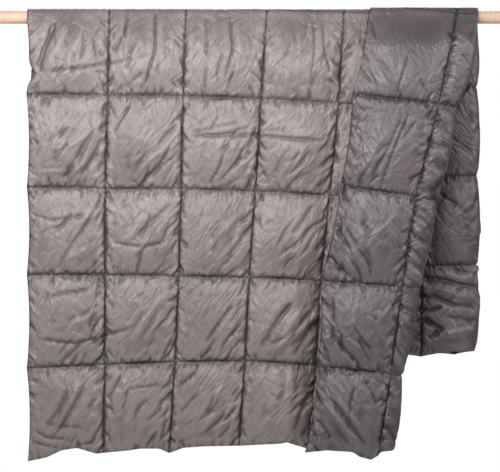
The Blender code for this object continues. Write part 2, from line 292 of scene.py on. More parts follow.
    def free_side(self, side):
        """1 where a cloth on this side has no other layer over it, and 0 where it has."""
        if side > 0.0:
            return eased(self.across, 0.82, 0.74)
        return eased(self.across, FOLD_ACROSS + 0.05, FOLD_ACROSS + 0.10)

    def room(self, side):
        """Most that a cloth may stand off the middle surface before it meets another layer."""
        radius = 0.5 * self.gap()
        past_turn = np.abs(self.across - FOLD_ACROSS) - 0.5 * math.pi * radius
        tight = TURN_THIN * radius + TURN_SLOPE * np.maximum(0.0, past_turn)
        covered = np.clip((self.across - 0.82) / 0.06, 0.0, 1.0)
        free = self.free_side(side)
        limit = 0.0245 - 0.0045 * covered * (1.0 - free) + 0.0080 * free
        return np.minimum(tight + 0.012 * free, SEAM_HALF + limit * self.lifted)


# ---------------------------------------------------------------- creases
# Each main crease: height out of the cloth and half width in millimetres, then its points
# as (across, level).
FACE_CREASES = (
    (-2.2, 3.6, (0.03, 0.775), (0.19, 0.66), (0.25, 0.62), (0.33, 0.5)),
    (-1.4, 3.4, (0.03, 0.75), (0.14, 0.69), (0.22, 0.6)),
    (-7.5, 6.5, (0.07, 0.18), (0.04, 0.5), (0.02, 0.78)),
    (4.0, 8.5, (0.1, 0.2), (0.07, 0.5), (0.04, 0.75)),
    (-3.4, 3.6, (0.27, 0.38), (0.245, 0.78)),
    (1.8, 5.0, (0.283, 0.36), (0.26, 0.76)),
    (-3.6, 3.6, (0.32, 0.04), (0.322, 0.5), (0.295, 0.93)),
    (-2.4, 3.6, (0.25, 0.06), (0.24, 0.38)),
    (-2.2, 3.6, (0.3, 0.72), (0.24, 0.92)),
    (-3.2, 3.6, (0.51, 0.1), (0.52, 0.48), (0.502, 0.85)),
    (-1.8, 3.6, (0.45, 0.08), (0.458, 0.6)),
    (-2.8, 3.6, (0.745, 0.08), (0.752, 0.4), (0.775, 0.75)),
    (-1.8, 3.6, (0.722, 0.08), (0.728, 0.45), (0.722, 0.85)),
    (-3.0, 4.5, (0.4, 1.44), (0.5, 1.41), (0.6, 1.4), (0.7, 1.42), (0.8, 1.4)),
    (-2.2, 4.5, (0.47, 1.45), (0.58, 1.3)),
    (-1.8, 4.5, (0.42, 1.4), (0.56, 1.26)),
    (-1.6, 4.0, (0.6, 1.36), (0.68, 1.31)),
    (6.5, 10.0, (0.19, 1.37), (0.16, 1.5), (0.14, 1.72), (0.1, 1.88)),
    (-6.0, 7.0, (0.17, 1.36), (0.145, 1.5), (0.12, 1.74), (0.085, 1.9)),
    (-3.5, 6.0, (0.18, 1.6), (0.14, 1.85)),
    (2.2, 4.0, (0.13, 1.42), (0.07, 1.6)),
    (2.0, 4.0, (0.02, 1.84), (0.12, 1.8)),
    (-2.6, 4.5, (0.26, 1.1), (0.22, 1.42)),
    (-4.0, 5.5, (0.37, 1.55), (0.31, 1.9)),
    (3.5, 6.0, (0.395, 1.5), (0.34, 1.88)),
    (-3.5, 5.0, (0.56, 1.62), (0.5, 1.92)),
    (-4.0, 6.0, (0.59, 1.3), (0.57, 1.55)),
    (4.0, 6.0, (0.6, 1.62), (0.57, 1.85)),
    (-3.0, 4.5, (0.22, 2.62), (0.3, 2.66), (0.37, 2.6)),
    (-1.8, 4.5, (0.01, 2.3), (0.06, 2.38), (0.17, 2.3)),
    (3.0, 7.0, (0.17, 2.2), (0.1, 2.62)),
    (-2.6, 5.5, (0.38, 2.15), (0.28, 2.55)),
    (3.5, 8.0, (0.57, 2.2), (0.47, 2.75)),
    (-3.0, 6.0, (0.6, 2.35), (0.52, 2.8)),
    (-2.6, 5.5, (0.76, 2.1), (0.7, 2.55)),
    (-3.4, 5.0, (0.01, 3.68), (0.12, 3.74), (0.2, 3.68), (0.29, 3.57)),
    (-3.4, 5.0, (0.085, 3.96), (0.15, 3.7)),
    (-2.0, 4.5, (0.05, 3.25), (0.17, 3.15)),
    (3.0, 7.0, (0.36, 3.2), (0.27, 3.75)),
    (-3.0, 5.5, (0.56, 3.3), (0.48, 3.8)),
    (-4.5, 7.0, (0.72, 3.25), (0.64, 3.85)),
    (4.5, 8.0, (0.75, 3.3), (0.68, 3.9)),
    (-4.0, 6.0, (0.79, 3.4), (0.73, 3.92)),
    (4.6, 8.0, (0.135, 4.18), (0.11, 4.45), (0.065, 4.72)),
    (-2.6, 3.6, (0.15, 4.2), (0.128, 4.45), (0.085, 4.7)),
    (-2.4, 3.6, (0.105, 4.25), (0.08, 4.5), (0.045, 4.64)),
    (-3.0, 3.6, (0.012, 4.66), (0.06, 4.78), (0.12, 4.9)),
    (-2.8, 3.6, (0.01, 4.78), (0.055, 4.86), (0.09, 4.95)),
    (-2.2, 3.6, (0.04, 4.58), (0.09, 4.7), (0.15, 4.74)),
    (-3.4, 4.0, (0.19, 4.7), (0.165, 4.88), (0.12, 4.97)),
    (-2.6, 3.6, (0.25, 4.12), (0.215, 4.4)),
    (-2.4, 3.6, (0.27, 4.28), (0.255, 4.55)),
    (-1.8, 3.6, (0.265, 4.3), (0.36, 4.26)),
    (-3.4, 4.2, (0.385, 4.55), (0.37, 4.92)),
    (-3.0, 3.6, (0.47, 4.1), (0.41, 4.32)),
    (-2.4, 3.6, (0.48, 4.35), (0.425, 4.6)),
    (6.0, 7.5, (0.725, 4.06), (0.728, 4.5), (0.732, 4.97)),
    (-5.0, 5.5, (0.782, 4.3), (0.75, 4.85)),
)
REVERSE_CREASES = (
    (-2.0, 3.6, (1.294, 0.5), (1.302, 0.97)),
    (-3.6, 3.8, (1.262, 1.1), (1.28, 1.5), (1.298, 1.97)),
    (-2.6, 3.8, (1.276, 1.12), (1.3, 1.6), (1.322, 1.95)),
    (-2.2, 3.6, (1.244, 1.22), (1.27, 1.44)),
    (-1.8, 3.6, (1.16, 1.44), (1.23, 1.46)),
    (2.6, 5.0, (1.36, 1.12), (1.385, 1.5)),
    (2.2, 5.0, (1.24, 2.2), (1.29, 2.5)),
    (2.6, 6.0, (1.36, 2.2), (1.375, 2.75)),
    (2.4, 5.0, (1.22, 3.2), (1.255, 3.48)),
    (-2.8, 5.0, (1.37, 3.15), (1.36, 3.8)),
    (4.5, 5.5, (1.372, 4.4), (1.3, 4.72), (1.24, 4.93)),
    (-3.4, 4.5, (1.352, 4.36), (1.285, 4.68), (1.235, 4.85)),
    (3.0, 4.5, (1.335, 4.36), (1.28, 4.6), (1.25, 4.76)),
    (-2.8, 4.0, (1.293, 4.2), (1.297, 4.4), (1.29, 4.66)),
    (-2.4, 4.5, (1.385, 4.6), (1.33, 4.85)),
    (-2.4, 4.5, (1.27, 4.1), (1.225, 4.4)),
    (-6.0, 5.5, (0.97, -3.1), (1.05, -3.16), (1.16, -3.3)),
    (5.5, 7.5, (0.97, -3.2), (1.04, -3.26), (1.12, -3.4)),
    (-6.0, 5.5, (0.97, -3.31), (1.03, -3.35), (1.08, -3.46), (1.14, -3.5)),
    (-3.5, 5.0, (1.07, -3.05), (1.15, -3.13)),
    (-6.0, 6.0, (0.97, -3.46), (1.02, -3.5), (1.06, -3.47)),
    (-3.5, 6.0, (1.06, -3.58), (1.14, -3.66)),
    (-8.0, 6.5, (0.97, -3.62), (1.01, -3.6), (1.05, -3.72), (1.02, -3.84)),
    (4.0, 7.0, (1.06, -3.8), (1.13, -3.74)),
    (-3.0, 6.0, (1.02, -2.1), (1.12, -2.45)),
    (-3.0, 6.0, (1.04, -1.45), (1.13, -1.75)),
)
# Even slanting ribs in the strip between the fold and the seam beside it.
FOLD_RIBS = tuple((4.2, 3.6, (1.198, 0.24 + 0.066 * k), (1.162, 0.42 + 0.066 * k))
                  for k in range(10))


def crease_heights(surface, creases):
    """Height that the listed creases give to each point of the grid."""
    heights = np.zeros(surface.across.shape)
    level = surface.row_place
    for height, half_width, *path in creases:
        height, half_width = height / 1000, half_width / 1000
        path = np.array(path) * (1.0, BOX_LENGTH)
        steps = np.linalg.norm(np.diff(path, axis=0), axis=1)
        walked = np.concatenate(([0.0], np.cumsum(steps)))
        reach = 3.0 * half_width
        near = (surface.across > path[:, 0].min() - reach)
        near &= (surface.across < path[:, 0].max() + reach)
        near &= (level * BOX_LENGTH > path[:, 1].min() - reach)
        near &= (level * BOX_LENGTH < path[:, 1].max() + reach)
        here = np.stack((surface.across[near], level[near] * BOX_LENGTH), axis=1)
        best = np.full(len(here), 1.0)
        best_place = np.zeros(len(here))
        for k in range(len(path) - 1):
            along = (path[k + 1] - path[k]) / steps[k]
            share = np.clip((here - path[k]) @ along, 0.0, steps[k])
            distance = np.linalg.norm(here - path[k] - share[:, None] * along, axis=1)
            closer = distance < best
            best = np.where(closer, distance, best)
            best_place = np.where(closer, walked[k] + share, best_place)
        end = np.minimum(best_place, walked[-1] - best_place)
        fade = eased(end, -0.25 * half_width, 0.22 * walked[-1])
        heights[near] += height * fade * np.exp(-(best / half_width) ** 1.6)
    return heights


# Kinds of small wrinkle. Each row: how many to a box, places across and down the box as
# (low, high), slant from upright in degrees and its spread, lengths, heights, half widths.
# A slant is positive where the upper end is further across the cloth.
def upper_row_wrinkles():
    return (
        (18, (0.00, 0.12), (0.08, 0.98), 40, 10, (0.022, 0.052), (0.0014, 0.0034), 0.0027),
        (18, (0.88, 1.00), (0.08, 0.98), -40, 10, (0.022, 0.052), (0.0014, 0.0034), 0.0027),
        (20, (0.02, 0.98), (0.88, 1.00), 8, 20, (0.016, 0.044), (0.0010, 0.0026), 0.0026),
        (12, (0.05, 0.95), (0.10, 0.80), 8, 9, (0.045, 0.120), (0.0010, 0.0030), 0.0032),
        (30, (0.05, 0.95), (0.10, 0.95), 20, 40, (0.012, 0.036), (0.0004, 0.0012), 0.0024),
    )


def lower_row_wrinkles(lean):
    """Wrinkles that fall away from the upright seams; lean is 1 or -1."""
    return (
        (18, (0.00, 0.10), (0.05, 0.98), -36, 12, (0.018, 0.042), (0.0014, 0.0032), 0.0027),
        (20, (0.88, 1.00), (0.08, 0.98), 36, 11, (0.024, 0.060), (0.0016, 0.0040), 0.0028),
        (18, (0.02, 0.98), (0.00, 0.09), 6 * lean, 28, (0.014, 0.038), (0.0010, 0.0026), 0.0026),
        (18, (0.02, 0.98), (0.91, 1.00), 14 * lean, 24, (0.014, 0.038), (0.0010, 0.0026), 0.0026),
        (12, (0.40, 0.97), (0.40, 0.98), 38 * lean, 10, (0.040, 0.095), (0.0016, 0.0044), 0.0030),
        (6, (0.10, 0.60), (0.20, 0.95), 38 * lean, 14, (0.030, 0.080), (0.0006, 0.0018), 0.0028),
        (24, (0.04, 0.96), (0.05, 0.95), 38 * lean, 38, (0.012, 0.036), (0.0004, 0.0011), 0.0024),
    )


def add_wrinkle(heights, lines, rows, centre, slant, length, height, half_width, bend):
    """Adds one short bent ridge, or a trough if its height is negative."""
    reach = 0.5 * length + 3.0 * half_width
    i, i_end = np.searchsorted(lines, (centre[0] - reach, centre[0] + reach))
    j, j_end = np.searchsorted(rows, (centre[1] - reach, centre[1] + reach))
    across = lines[i:i_end, None] - centre[0]
    down = rows[None, j:j_end] - centre[1]
    run = across * math.sin(slant) - down * math.cos(slant)
    aside = across * math.cos(slant) + down * math.sin(slant) + bend * run * run / length
    width = np.where(aside > 0.0, 1.35, 0.75) * half_width
    fade = np.clip(1.0 - (2.0 * run / length) ** 2, 0.0, 1.0)
    heights[i:i_end, j:j_end] += height * fade * np.exp(-(np.abs(aside) / width) ** 1.3)


def wrinkle_heights(surface, side, random):
    """Height of all the small wrinkles at each point of the grid."""
    heights = np.zeros(surface.across.shape)
    lines = surface.across[:, -1]
    rows = surface.row_place[0] * BOX_LENGTH
    for column in range(COLUMNS):
        for row in range(-BACK_ROWS, FRONT_ROWS):
            folded = side < 0 and column >= 5
            kinds = lower_row_wrinkles(-1.0 if folded and row == 1 else 1.0)
            if row in (0, -1) and not folded:
                kinds = upper_row_wrinkles()
            amount = 0.22 if folded and row in (0, -1) else random.uniform(0.8, 1.2)
            for count, across, down, slant, spread, lengths, sizes, half_width in kinds:
                for _ in range(int(round(count * amount))):
                    centre = ((column + random.uniform(*across)) * BOX_WIDTH,
                              (row + random.uniform(*down)) * BOX_LENGTH)
                    turned = math.radians(slant + random.normal(0.0, spread))
                    if row < 0:
                        turned = -turned
                    height = random.uniform(*sizes) * random.choice((-1.0, 1.0))
                    wide = half_width * random.uniform(0.8, 1.5)
                    add_wrinkle(heights, lines, rows, centre, turned, random.uniform(*lengths),
                                height, wide, random.uniform(-0.5, 0.5))
    return heights


# ---------------------------------------------------------------- the cloth simulation
def smooth_noise(random, shape, grain):
    """Noise from -1 to 1 whose features are about `grain` steps wide."""
    coarse = [max(4, int(size / grain) + 3) for size in shape]
    values = random.uniform(-1.0, 1.0, coarse)
    for axis in (0, 1):
        at = np.linspace(1.0, coarse[axis] - 2.001, shape[axis])
        low = at.astype(int)
        share = eased(at - low, 0.0, 1.0)
        share = share[:, None] if axis == 0 else share[None, :]
        upper = np.take(values, low, axis=axis)
        lower = np.take(values, low + 1, axis=axis)
        values = upper + (lower - upper) * share
    return values


def pull(first, second, rest, stiffness):
    """Moves two slices of points toward their rest distance from each other."""
    step = second - first
    length = np.sqrt(np.einsum("ijk,ijk->ij", step, step)) + 1e-9
    step *= (0.5 * stiffness * (1.0 - rest / length))[..., None]
    first += step
    second -= step


def distances(points, di, dj):
    """Distances between each point and the one di lines and dj rows further."""
    rows = points.shape[1]
    if dj >= 0:
        step = points[di:, dj:] - points[:len(points) - di, :rows - dj]
    else:
        step = points[di:, :dj] - points[:len(points) - di, -dj:]
    return np.linalg.norm(step, axis=2).astype(np.float32)


class Cloth:
    """One shell cloth, on one side of the middle surface."""

    def __init__(self, surface, side, growth, lean, drift):
        self.normals = (surface.normals * side).astype(np.float32)
        self.base = surface.points.astype(np.float32)
        self.drift = drift.astype(np.float32)
        self.rest = {}
        for di, dj in ((1, 0), (0, 1), (2, 0), (0, 2)):
            rest = distances(surface.points, di, dj)
            share = 1.0 if dj == 0 else GROWTH_DOWN
            factor = 1.0 + share * growth[:rest.shape[0], :rest.shape[1]]
            self.rest[di, dj] = (rest * factor).astype(np.float32)
        for di, dj, sign in ((1, 1, 1.0), (1, -1, -1.0)):
            rest = distances(surface.points, di, dj)
            factor = (1.0 + 0.5 * (1.0 + GROWTH_DOWN) * growth) * (1.0 + sign * lean)
            factor = factor[:rest.shape[0], :rest.shape[1]]
            self.rest[di, dj] = (rest * factor).astype(np.float32)

    def raise_by(self, heights):
        self.points += self.normals * heights.astype(np.float32)[..., None]

    def start(self, offset):
        self.points = self.base.copy()
        self.raise_by(offset)

    def constrain(self, stretch, shear, bend):
        p = self.points
        for s in (0, 1):
            pull(p[s:-1:2], p[s + 1::2], self.rest[1, 0][s::2], stretch)
            pull(p[:, s:-1:2], p[:, s + 1::2], self.rest[0, 1][:, s::2], stretch)
        for s in (0, 1):
            pull(p[s:-1:2, :-1], p[s + 1::2, 1:], self.rest[1, 1][s::2], shear)
            pull(p[s:-1:2, 1:], p[s + 1::2, :-1], self.rest[1, -1][s::2], shear)
        for s in range(4):
            pull(p[s:-2:4], p[s + 2::4], self.rest[2, 0][s::4], bend)
            pull(p[:, s:-2:4], p[:, s + 2::4], self.rest[0, 2][:, s::4], bend)

    def keep_in(self, least, most):
        """Keeps each point on its own side, under the next layer and near its place."""
        step = self.points - self.base
        offset = np.einsum("ijk,ijk->ij", step, self.normals)
        step -= self.normals * offset[..., None]
        length = np.sqrt(np.einsum("ijk,ijk->ij", step, step)) + 1e-9
        step *= np.minimum(1.0, self.drift / length)[..., None]
        self.points = self.base + step + self.normals * np.clip(offset, least, most)[..., None]

    def settle(self, steps, target, least, most, pins, pinned, push, stretch, shear, bend):
        """Steps the cloth until filling, seams and its own length agree."""
        target, least, most = (a.astype(np.float32) for a in (target, least, most))
        before = self.points.copy()
        for _ in range(steps):
            velocity = (self.points - before) * 0.85
            before = self.points.copy()
            self.points += velocity
            offset = np.einsum("ijk,ijk->ij", self.points - self.base, self.normals)
            self.points += self.normals * (push * (target - offset))[..., None]
            self.constrain(stretch, shear, bend)
            self.keep_in(least, most)
            self.points[pins] = pinned


def doubled(coarse):
    """The same grid of points with twice as many cells each way."""
    for axis in (0, 1):
        count = 2 * coarse.shape[axis] - 1
        at = np.arange(count) / 2.0
        low = np.minimum(at.astype(int), coarse.shape[axis] - 2)
        share = (at - low).astype(np.float32)
        share = share.reshape((-1, 1, 1) if axis == 0 else (1, -1, 1))
        upper = np.take(coarse, low, axis=axis)
        coarse = upper + (np.take(coarse, low + 1, axis=axis) - upper) * share
    return coarse


# One row for each grid: cells to a box, steps, growth of the cloth, growth at the seams.
GRIDS = ((15, 120, 0.034, 0.000), (30, 110, 0.052, 0.010), (60, 170, 0.072, 0.035))
# Down the cloth its own weight takes up most of the growth, so wrinkles stand upright.
GROWTH_DOWN = 0.45
LEAN = 0.020
FILLING_SAG = 0.20
PUCKER_REACH = 0.020
PUCKER_SPACING = 0.0125
PUCKER_HEIGHT = 0.0012
# Share of the wrinkles' height that is added once more after the cloth has settled.
KEPT_AFTER = 0.60
# How unevenly the cloth is cut, how rough it starts, and how far a point may slide.
UNEVEN_CUT, ROUGH_START = 0.010, 0.0004
SLIDE_FREE, SLIDE_LOST = 0.0045, 0.0033
# Offsets from the middle surface: at a seam, the least elsewhere, and most over the filling.
SEAM_OFFSET, LEAST_OFFSET, OVER_FILLING = 0.0010, 0.0007, 0.0045
FACE_SEED, REVERSE_SEED = 11, 29


def pillow(surface, side, random):
    """Distance that the filling would like to lift a cloth off the middle surface."""
    beside = (1.0 - np.abs(surface.column_phase) ** 2.0) ** 0.60
    down = np.where(surface.front, surface.row_phase, -surface.row_phase)
    below = (1.0 - np.abs(down) ** 2.0) ** 0.72
    full = np.clip(beside, 0.0, 1.0) * np.clip(below, 0.0, 1.0) * (1.0 + FILLING_SAG * down)
    lumps = 1.0 + 0.08 * smooth_noise(random, full.shape, surface.cells * 0.45)
    free = surface.free_side(side)
    slower = 0.085 * free * (surface.across > FOLD_ACROSS)
    filled = eased(np.abs(surface.along), PRESSED_TO + 0.4 * slower, 0.175 + slower)
    crown = CROWN_HALF + (CROWN_FREE - CROWN_HALF) * free
    return SEAM_HALF + (crown - SEAM_HALF) * full * lumps * filled


def puckers(surface, random):
    """Ripples that rise away from the upright seams and stand on the cross seams."""
    shape = surface.along.shape
    drift = 0.006 * smooth_noise(random, shape, surface.cells * 0.25)
    upright = np.exp(-surface.seam_distance / PUCKER_REACH)
    rising = np.abs(surface.along) + 0.8 * surface.seam_distance + drift
    ripples = upright * np.sin(2.0 * math.pi * rising / PUCKER_SPACING)
    across = surface.across + drift + 0.3 * surface.cross_distance
    level = np.exp(-surface.cross_distance / PUCKER_REACH)
    ripples = ripples + level * np.sin(2.0 * math.pi * across / PUCKER_SPACING)
    strength = 0.6 + 0.6 * smooth_noise(random, shape, surface.cells * 0.3)
    return PUCKER_HEIGHT * ripples * np.clip(strength, 0.0, 1.2)


def shell_cloth(side, creases, seed):
    """The settled grid of the face (side 1) or the reverse (side -1)."""
    points = None
    grids = GRIDS
    for cells, steps, growth, seam_growth in grids:
        surface = Surface(cells)
        random = np.random.RandomState(seed + cells)
        shape = surface.along.shape
        turn = surface.turn_nearness()
        at_seam = np.exp(-np.minimum(surface.seam_distance, surface.cross_distance) / 0.02)
        grow = growth * (0.35 + 0.65 * surface.lifted) + seam_growth * at_seam * surface.lifted
        grow = grow + UNEVEN_CUT * smooth_noise(random, shape, cells * 0.5)
        grow = grow * (1.0 - turn * (0.9 if side > 0 else 0.3))
        folded = surface.across > FOLD_ACROSS
        herring = -np.sign(surface.column_phase) * (surface.level < 1.0) * surface.front
        lean = LEAN * np.where(herring != 0.0, herring * np.abs(surface.column_phase), 1.0)
        lean = lean * np.where(folded, -0.5, 1.0) * np.where(surface.front, 1.0, 0.4)
        lean = lean * surface.lifted * (1.0 - turn)
        drift = SLIDE_FREE - SLIDE_LOST * np.maximum(turn, 1.0 - surface.lifted)
        cloth = Cloth(surface, side, grow, lean, drift)
        finest = cells == grids[-1][0]

        target = pillow(surface, side, random)
        heights = crease_heights(surface, creases)
        most = np.minimum(target + OVER_FILLING, surface.room(side))
        least = np.where(surface.edges, 0.0, LEAST_OFFSET)
        rough = ROUGH_START * random.uniform(-1.0, 1.0, shape)
        if points is None:
            cloth.start(0.8 * np.minimum(target, most) + rough)
        else:
            cloth.points = doubled(points)
            cloth.raise_by(rough + puckers(surface, random))
        if finest:
            heights = heights + wrinkle_heights(surface, side, random) * surface.lifted
            cloth.raise_by(heights)
            target = target + heights
            most = most + np.maximum(heights, 0.0)
        seam_offset = np.where(surface.edges, 0.0, SEAM_OFFSET)
        pinned = surface.points + side * surface.normals * seam_offset[..., None]
        pins = surface.seams
        cloth.settle(steps, target, least, most, pins, pinned[pins].astype(np.float32),
                     push=0.07, stretch=0.9, shear=0.35, bend=0.10 if cells < 50 else 0.035)
        points = cloth.points
    left = np.where(surface.edges | surface.seams, 0.0, KEPT_AFTER * heights)
    cloth.raise_by(left)
    return surface, cloth


# ---------------------------------------------------------------- meshes
def link(thing):
    bpy.context.collection.objects.link(thing)
    return thing


def mesh_from(name, points, rings):
    """A mesh object of equal-sided faces from arrays."""
    mesh = bpy.data.meshes.new(name)
    mesh.vertices.add(len(points))
    mesh.vertices.foreach_set("co", points.reshape(-1).astype(np.float32))
    mesh.loops.add(rings.size)
    mesh.loops.foreach_set("vertex_index", rings.reshape(-1).astype(np.int32))
    mesh.polygons.add(len(rings))
    starts = np.arange(len(rings)) * rings.shape[1]
    mesh.polygons.foreach_set("loop_start", starts.astype(np.int32))
    mesh.polygons.foreach_set("loop_total", np.full(len(rings), rings.shape[1], np.int32))
    mesh.update()
    return link(bpy.data.objects.new(name, mesh))


def add_values(mesh, name, values):
    layer = mesh.attributes.new(name, "FLOAT", "POINT")
    layer.data.foreach_set("value", values.reshape(-1).astype(np.float32))


def blurred(values, reach):
    """Mean over a square of 2 * reach + 1 steps."""
    for axis in (0, 1):
        padded = np.pad(values, [(reach + 1, reach) if a == axis else (0, 0) for a in (0, 1)],
                        mode="edge")
        sums = np.cumsum(padded, axis=axis)
        size = values.shape[axis]
        upper = np.take(sums, np.arange(size) + 2 * reach + 1, axis=axis)
        lower = np.take(sums, np.arange(size), axis=axis)
        values = (upper - lower) / (2 * reach + 1)
    return values


def cloth_piece(name, surface, cloth, side, lines, rows):
    """Part of one shell cloth, with UVs in metres of cloth."""
    points = cloth.points[lines, rows]
    count_across, count_along = points.shape[:2]
    i, j = np.meshgrid(np.arange(count_across - 1), np.arange(count_along - 1), indexing="ij")
    corner = (i * count_along + j).ravel()
    rings = np.stack((corner, corner + 1, corner + count_along + 1, corner + count_along), axis=1)
    if side < 0:
        rings = rings[:, ::-1]
    piece = mesh_from(name, points.reshape(-1, 3), rings)
    mesh = piece.data
    across, along = surface.across[lines, rows], surface.along[lines, rows]
    uv = np.stack((across.ravel(), along.ravel()), axis=1)[rings.ravel()]
    layer = mesh.uv_layers.new(name="cloth")
    layer.data.foreach_set("uv", uv.reshape(-1).astype(np.float32))
    # The ridge value is how far the cloth stands above its blurred surroundings; the material uses
    # it for painted shade in troughs and a painted highlight on crests.
    offset = np.einsum("ijk,ijk->ij", cloth.points - cloth.base, cloth.normals)
    ridge = (offset - blurred(offset, surface.cells // 10)) / 0.0012
    add_values(mesh, "ridge", np.clip(ridge, -1.0, 1.0)[lines, rows])
    add_values(mesh, "seam_distance", surface.seam_distance[lines, rows])
    add_values(mesh, "cross_distance", surface.cross_distance[lines, rows])
    mesh.shade_smooth()
    return piece


STITCH_PITCH = 0.0034
STITCH_HALF_LENGTH = 0.0012
STITCH_HALF_WIDTH = 0.00032
STITCH_OFFSET = 0.0013


def stitch_piece(name, surface, side, lines, rows):
    """A joined mesh of one small spindle for each stitch of the seams."""
    cells = surface.cells
    points = surface.points + side * STITCH_OFFSET * surface.normals
    normals = surface.normals * side
    upright = [k for k in range(lines.start + cells, lines.stop, cells) if k < COLUMNS * cells]
    level = [k for k in range(rows.start + cells, rows.stop, cells) if k < ROWS * cells]
    lines, rows = slice(lines.start, lines.stop), slice(rows.start, rows.stop)
    runs = [(points[line, rows], normals[line, rows]) for line in upright]
    runs += [(points[lines, row], normals[lines, row]) for row in level]
    corners = []
    for run, outs in runs:
        walked = np.concatenate(([0.0], np.cumsum(np.linalg.norm(np.diff(run, axis=0), axis=1))))
        places = np.arange(0.5 * STITCH_PITCH, walked[-1], STITCH_PITCH)
        centre = np.stack([np.interp(places, walked, run[:, k]) for k in range(3)], axis=1)
        out = np.stack([np.interp(places, walked, outs[:, k]) for k in range(3)], axis=1)
        ahead = np.stack([np.interp(places + 0.001, walked, run[:, k]) for k in range(3)], axis=1)
        ahead -= centre
        ahead /= np.linalg.norm(ahead, axis=1, keepdims=True) + 1e-9
        out -= ahead * np.einsum("ij,ij->i", ahead, out)[:, None]
        out /= np.linalg.norm(out, axis=1, keepdims=True)
        beside = np.cross(ahead, out)
        corners.append(np.stack((centre - STITCH_HALF_LENGTH * ahead,
                                 centre + STITCH_HALF_LENGTH * ahead,
                                 centre + STITCH_HALF_WIDTH * beside,
                                 centre + STITCH_HALF_WIDTH * out,
                                 centre - STITCH_HALF_WIDTH * beside,
                                 centre - STITCH_HALF_WIDTH * out), axis=1))
    corners = np.concatenate(corners)
    spindle = np.array([(0, 3, 2), (0, 4, 3), (0, 5, 4), (0, 2, 5),
                        (1, 2, 3), (1, 3, 4), (1, 4, 5), (1, 5, 2)])
    rings = (np.arange(len(corners))[:, None, None] * 6 + spindle).reshape(-1, 3)
    piece = mesh_from(name, corners.reshape(-1, 3), rings)
    piece.data.shade_smooth()
    return piece


# ---------------------------------------------------------------- materials
def node(tree, kind, **values):
    made = tree.nodes.new(kind)
    for name, value in values.items():
        setattr(made, name, value)
    return made


def new_material(name):
    """A material with its node tree and shader."""
    material = bpy.data.materials.new(name)
    material.use_nodes = True
    return material, material.node_tree, material.node_tree.nodes["Principled BSDF"]


def colour_by(tree, value, shader, stops):
    """Colours the shader by a ramp through the stops, each a position and a colour."""
    ramp = node(tree, "ShaderNodeValToRGB")
    elements = ramp.color_ramp.elements
    for element, (position, colour) in zip(tuple(elements), (stops[0], stops[-1])):
        element.position = position
        element.color = (*colour, 1.0)
    for position, colour in stops[1:-1]:
        elements.new(position).color = (*colour, 1.0)
    tree.links.new(value, ramp.inputs["Fac"])
    tree.links.new(ramp.outputs["Color"], shader.inputs["Base Color"])


def scaled(colour, share):
    return tuple(share * part for part in colour)


def math_node(tree, operation, first, second=None):
    """A math node; each input is a socket or a number."""
    made = node(tree, "ShaderNodeMath", operation=operation)
    for socket, value in zip(made.inputs, (first, second)):
        if isinstance(value, bpy.types.NodeSocket):
            tree.links.new(value, socket)
        elif value is not None:
            socket.default_value = value
    return made.outputs[0]


def noise(tree, vector, scale, detail):
    made = node(tree, "ShaderNodeTexNoise")
    made.inputs["Scale"].default_value = scale
    made.inputs["Detail"].default_value = detail
    tree.links.new(vector, made.inputs["Vector"])
    return made.outputs["Fac"]


def turned_coordinates(tree, uv, angle, squeeze):
    """Cloth coordinates in which a noise is drawn out along a slant."""
    turn = node(tree, "ShaderNodeMapping", vector_type="POINT")
    turn.inputs["Rotation"].default_value = (0.0, 0.0, angle)
    squeezed = node(tree, "ShaderNodeMapping", vector_type="POINT")
    squeezed.inputs["Scale"].default_value = (1.0, squeeze, 1.0)
    tree.links.new(uv, turn.inputs["Vector"])
    tree.links.new(turn.outputs["Vector"], squeezed.inputs["Vector"])
    return squeezed.outputs["Vector"]


def value_of(tree, name):
    return node(tree, "ShaderNodeAttribute", attribute_name=name).outputs["Fac"]


def ranged(tree, value, low, high, start, end):
    made = node(tree, "ShaderNodeMapRange", interpolation_type="SMOOTHSTEP")
    tree.links.new(value, made.inputs["Value"])
    for name, number in zip(("From Min", "From Max", "To Min", "To Max"), (low, high, start, end)):
        made.inputs[name].default_value = number
    return made.outputs["Result"]


def drawn_facets(tree, vector, scale):
    """Facets with sharp ridges between them, as long as the vector's space is stretched."""
    stir = node(tree, "ShaderNodeTexNoise")
    stir.inputs["Scale"].default_value = 0.4 * scale
    stir.inputs["Detail"].default_value = 1.0
    tree.links.new(vector, stir.inputs["Vector"])
    pushed = node(tree, "ShaderNodeVectorMath", operation="MULTIPLY_ADD")
    tree.links.new(stir.outputs["Color"], pushed.inputs[0])
    pushed.inputs[1].default_value = (1.5 / scale, 1.5 / scale, 0.0)
    tree.links.new(vector, pushed.inputs[2])
    cells = node(tree, "ShaderNodeTexVoronoi", voronoi_dimensions="2D", feature="F1")
    cells.inputs["Scale"].default_value = scale
    tree.links.new(pushed.outputs["Vector"], cells.inputs["Vector"])
    return cells.outputs["Distance"]


def crease_lines(tree, vector, scale, shown):
    """Thin wandering lines, sunk below a flat ground as deep as they are shown."""
    field = noise(tree, vector, scale, 1.0)
    aside = math_node(tree, "ABSOLUTE", math_node(tree, "SUBTRACT", field, 0.5))
    return math_node(tree, "MULTIPLY", ranged(tree, aside, 0.0, 0.045, -1.0, 0.0), shown)


